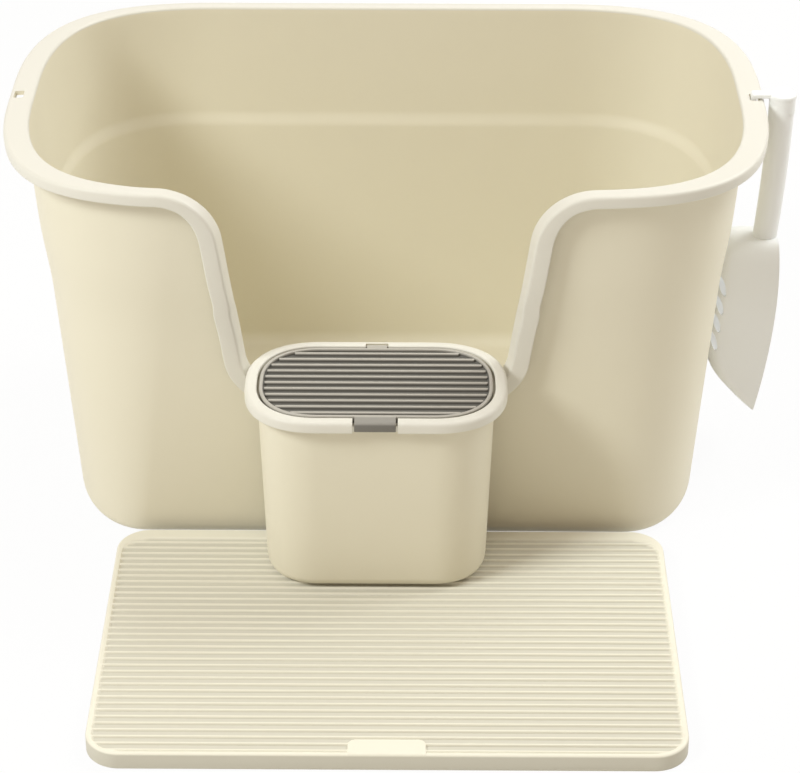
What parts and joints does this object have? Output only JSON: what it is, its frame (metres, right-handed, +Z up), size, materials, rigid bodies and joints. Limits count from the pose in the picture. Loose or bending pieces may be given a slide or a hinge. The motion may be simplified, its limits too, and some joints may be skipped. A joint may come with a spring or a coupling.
{
  "type": "litter box",
  "caption": "High-walled open litter tub with a low entry, a lidded step bin at the entry, a ribbed mat and a hanging scoop.",
  "frame": {"origin": "centre of the tub's flat underside, on the floor", "axes": "+Z up, -Y towards the entry, the bin and the mat, +X towards the side the scoop hangs on"},
  "size_m": [0.6462, 0.6565, 0.336],
  "materials": {
    "cream_plastic": "fine satin moulding",
    "mat_plastic": "fine satin moulding, ribbed",
    "bin_plastic": "fine satin moulding",
    "grey_plastic": "satin, ribbed",
    "white_plastic": "satin"
  },
  "bodies": {
    "tub": {"litter_tub": "cream_plastic"},
    "mat": {"entry_mat": "mat_plastic"},
    "bin": {"step_bin": "bin_plastic"},
    "lid": {"bin_lid": "grey_plastic"},
    "scoop": {"litter_scoop": "white_plastic"}
  },
  "joints": [
    {"name": "mat_slide", "type": "slide", "parent": "tub", "child": "mat", "axis": [0, -1, 0], "range_m": [0, 0.15]},
    {"name": "bin_lift", "type": "slide", "parent": "tub", "child": "bin", "axis": [0, 0, 1], "range_m": [0, 0.12]},
    {"name": "lid_hinge", "type": "hinge", "parent": "bin", "child": "lid", "pos_m": [-0.0062, -0.14994, 0.1762], "axis": [-1, 0, 0], "range_deg": [0, 100]},
    {"name": "scoop_lift", "type": "slide", "parent": "tub", "child": "scoop", "axis": [0.1961, 0, 0.9806], "range_m": [0, 0.06]}
  ]
}
